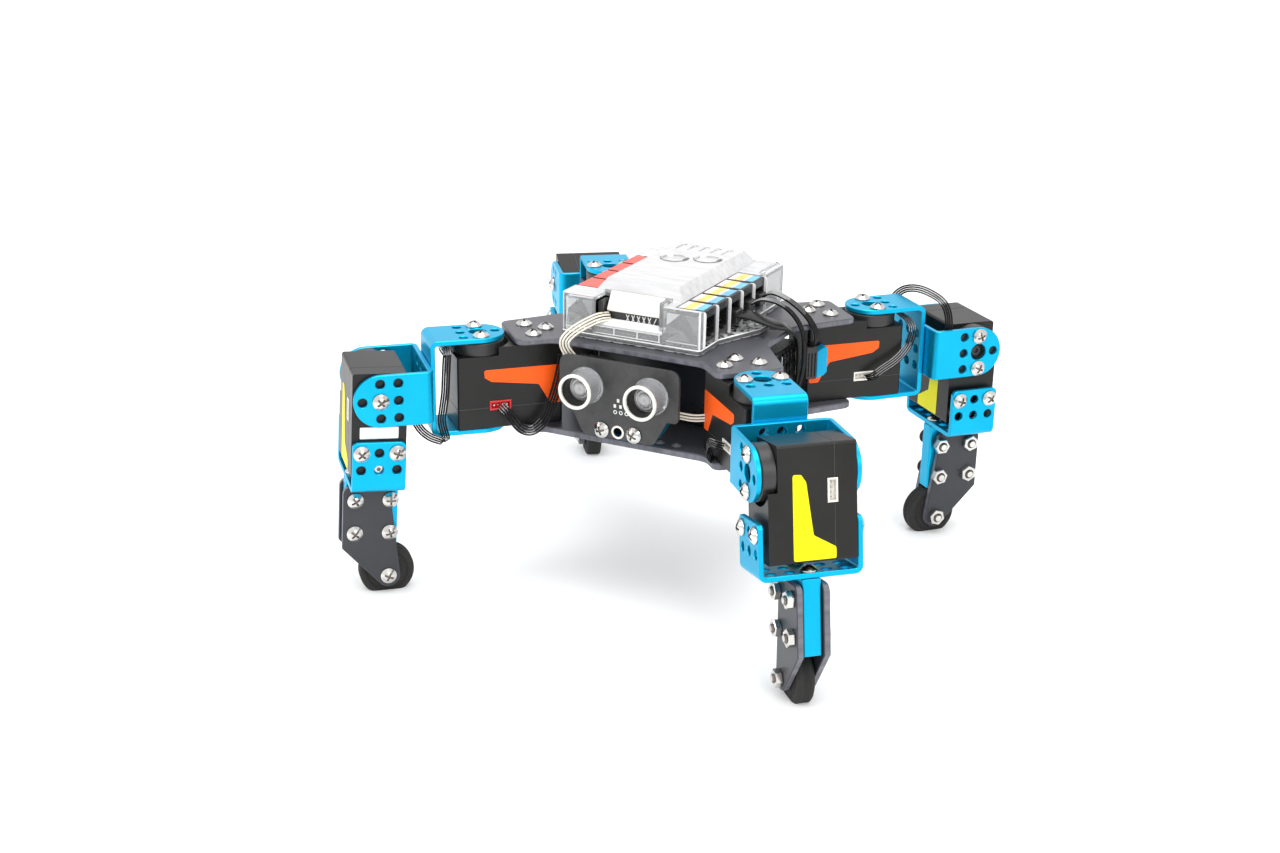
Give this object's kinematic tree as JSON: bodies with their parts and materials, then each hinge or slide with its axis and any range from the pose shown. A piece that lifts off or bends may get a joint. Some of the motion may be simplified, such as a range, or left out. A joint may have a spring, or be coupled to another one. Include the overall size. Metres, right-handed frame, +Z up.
{
  "type": "quadruped walking robot",
  "caption": "Four-legged walking robot: two plates carry a clear-cased controller and an ultrasonic sensor, each leg swings at an upright hip servo and folds at a level knee servo.",
  "frame": {"origin": "on the floor, under the middle of the robot's bounding box; the body's own middle is 0.3 mm to -X and 1.8 mm to -Y of it", "axes": "+Z up, +X to the robot's left as seen from its sensor end (right in a front view from -Y), the sensor faces -Y"},
  "size_m": [0.262, 0.2618, 0.1456],
  "materials": {
    "blue_aluminium": "satin cyan-blue anodised",
    "grey_plate": "satin slate grey",
    "servo_case": "fine moulded black",
    "servo_horn": "turned black",
    "foot_rubber": "matt black rubber",
    "clear_case": "clear glossy",
    "circuit_board": "black solder mask",
    "socket_plastic": "black moulded",
    "battery_wrap": "shrink wrap",
    "sensor_can": "bright metal can",
    "black_lead": "black insulation",
    "white_lead": "off-white insulation",
    "steel_fastener": "bright nickel-plated",
    "orange_label": "satin sticker",
    "yellow_label": "satin sticker",
    "white_label": "paper or moulded white",
    "red_plastic": "red moulded",
    "blue_plastic": "blue moulded"
  },
  "bodies": {
    "chassis": {"top_plate": "grey_plate", "bottom_plate": "grey_plate", "case_base": "clear_case", "case_cover": "clear_case", "controller_board": "circuit_board", "signal_sockets": "socket_plastic", "motor_sockets": "socket_plastic", "battery_pack": "battery_wrap", "sensor_board": "circuit_board", "sensor_eye_left": "sensor_can", "sensor_eye_right": "sensor_can", "sensor_lead": "white_lead", "signal_cables": "black_lead", "front_left_hip_lead": "black_lead", "front_left_hip_servo": "servo_case", "front_right_hip_servo": "servo_case", "rear_right_hip_servo": "servo_case", "rear_left_hip_servo": "servo_case"},
    "front_left_upper_leg": {"front_left_hip_horn": "servo_horn", "front_left_hip_bracket": "blue_aluminium", "front_left_knee_bracket": "blue_aluminium", "front_left_knee_horn": "servo_horn", "front_left_leg_lead": "black_lead"},
    "front_left_lower_leg": {"front_left_knee_servo": "servo_case", "front_left_foot_bracket": "blue_aluminium", "front_left_leg_beam": "blue_aluminium", "front_left_shin_plate_left": "grey_plate", "front_left_shin_plate_right": "grey_plate", "front_left_foot": "foot_rubber"},
    "front_right_upper_leg": {"front_right_hip_horn": "servo_horn", "front_right_hip_bracket": "blue_aluminium", "front_right_knee_bracket": "blue_aluminium", "front_right_knee_horn": "servo_horn"},
    "front_right_lower_leg": {"front_right_knee_servo": "servo_case", "front_right_foot_bracket": "blue_aluminium", "front_right_leg_beam": "blue_aluminium", "front_right_shin_plate_left": "grey_plate", "front_right_shin_plate_right": "grey_plate", "front_right_foot": "foot_rubber"},
    "rear_right_upper_leg": {"rear_right_hip_horn": "servo_horn", "rear_right_hip_bracket": "blue_aluminium", "rear_right_knee_bracket": "blue_aluminium", "rear_right_knee_horn": "servo_horn", "rear_right_leg_lead": "black_lead"},
    "rear_right_lower_leg": {"rear_right_knee_servo": "servo_case", "rear_right_foot_bracket": "blue_aluminium", "rear_right_leg_beam": "blue_aluminium", "rear_right_shin_plate_left": "grey_plate", "rear_right_shin_plate_right": "grey_plate", "rear_right_foot": "foot_rubber"},
    "rear_left_upper_leg": {"rear_left_hip_horn": "servo_horn", "rear_left_hip_bracket": "blue_aluminium", "rear_left_knee_bracket": "blue_aluminium", "rear_left_knee_horn": "servo_horn"},
    "rear_left_lower_leg": {"rear_left_knee_servo": "servo_case", "rear_left_foot_bracket": "blue_aluminium", "rear_left_leg_beam": "blue_aluminium", "rear_left_shin_plate_left": "grey_plate", "rear_left_shin_plate_right": "grey_plate", "rear_left_foot": "foot_rubber"}
  },
  "joints": [
    {"name": "front_left_hip", "type": "hinge", "parent": "chassis", "child": "front_left_upper_leg", "pos_m": [-0.07022, -0.06677, 0.0986], "axis": [0, 0, 1], "range_deg": [-37.7, 42.3], "deforming": ["front_left_leg_lead"]},
    {"name": "front_left_knee", "type": "hinge", "parent": "front_left_upper_leg", "child": "front_left_lower_leg", "pos_m": [-0.1055, -0.09932, 0.0986], "axis": [-0.6782, 0.7349, 0], "range_deg": [-25, 87], "deforming": ["front_left_leg_lead"]},
    {"name": "front_right_hip", "type": "hinge", "parent": "chassis", "child": "front_right_upper_leg", "pos_m": [0.06958, -0.06677, 0.0986], "axis": [0, 0, 1], "range_deg": [-37.5, 42.5]},
    {"name": "front_right_knee", "type": "hinge", "parent": "front_right_upper_leg", "child": "front_right_lower_leg", "pos_m": [0.10201, -0.10216, 0.0986], "axis": [-0.7373, -0.6756, 0], "range_deg": [-31.7, 80.3]},
    {"name": "rear_right_hip", "type": "hinge", "parent": "chassis", "child": "rear_right_upper_leg", "pos_m": [0.06958, 0.06323, 0.0986], "axis": [0, 0, 1], "range_deg": [-42.6, 37.4], "deforming": ["rear_right_leg_lead"]},
    {"name": "rear_right_knee", "type": "hinge", "parent": "rear_right_upper_leg", "child": "rear_right_lower_leg", "pos_m": [0.10195, 0.09868, 0.0986], "axis": [0.7385, -0.6743, 0], "range_deg": [-21.5, 90.5], "deforming": ["rear_right_leg_lead"]},
    {"name": "rear_left_hip", "type": "hinge", "parent": "chassis", "child": "rear_left_upper_leg", "pos_m": [-0.07022, 0.06323, 0.0986], "axis": [0, 0, 1], "range_deg": [-31.5, 48.5]},
    {"name": "rear_left_knee", "type": "hinge", "parent": "rear_left_upper_leg", "child": "rear_left_lower_leg", "pos_m": [-0.09877, 0.10182, 0.0986], "axis": [0.8039, 0.5948, 0], "range_deg": [-33.5, 78.5]}
  ]
}
